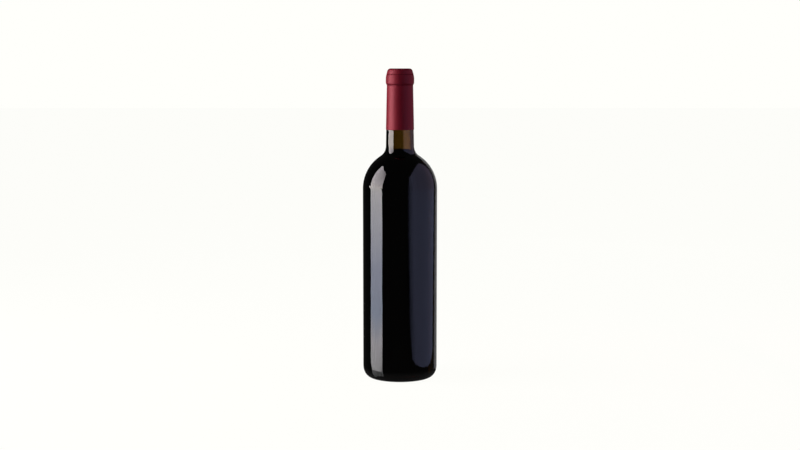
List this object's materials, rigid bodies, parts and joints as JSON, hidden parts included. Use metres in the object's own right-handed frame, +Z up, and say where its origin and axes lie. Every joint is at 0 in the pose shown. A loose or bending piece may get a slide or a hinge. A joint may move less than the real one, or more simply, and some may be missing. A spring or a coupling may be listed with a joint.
{
  "type": "wine bottle",
  "caption": "Straight-sided, high-shouldered dark glass wine bottle, full of red wine, with a shrunk-on capsule over its mouth and a domed foot.",
  "frame": {"origin": "centre of the foot, on the surface that the bottle stands on", "axes": "+Z up along the bottle's axis, towards the mouth; the bottle is round, so X and Y are any two level directions"},
  "size_m": [0.0746, 0.0746, 0.311],
  "materials": {
    "dark_glass": "gloss",
    "red_wine": "gloss",
    "red_film": "satin"
  },
  "bodies": {
    "root": {"bottle": "dark_glass", "wine": "red_wine", "capsule": "red_film"}
  },
  "joints": []
}
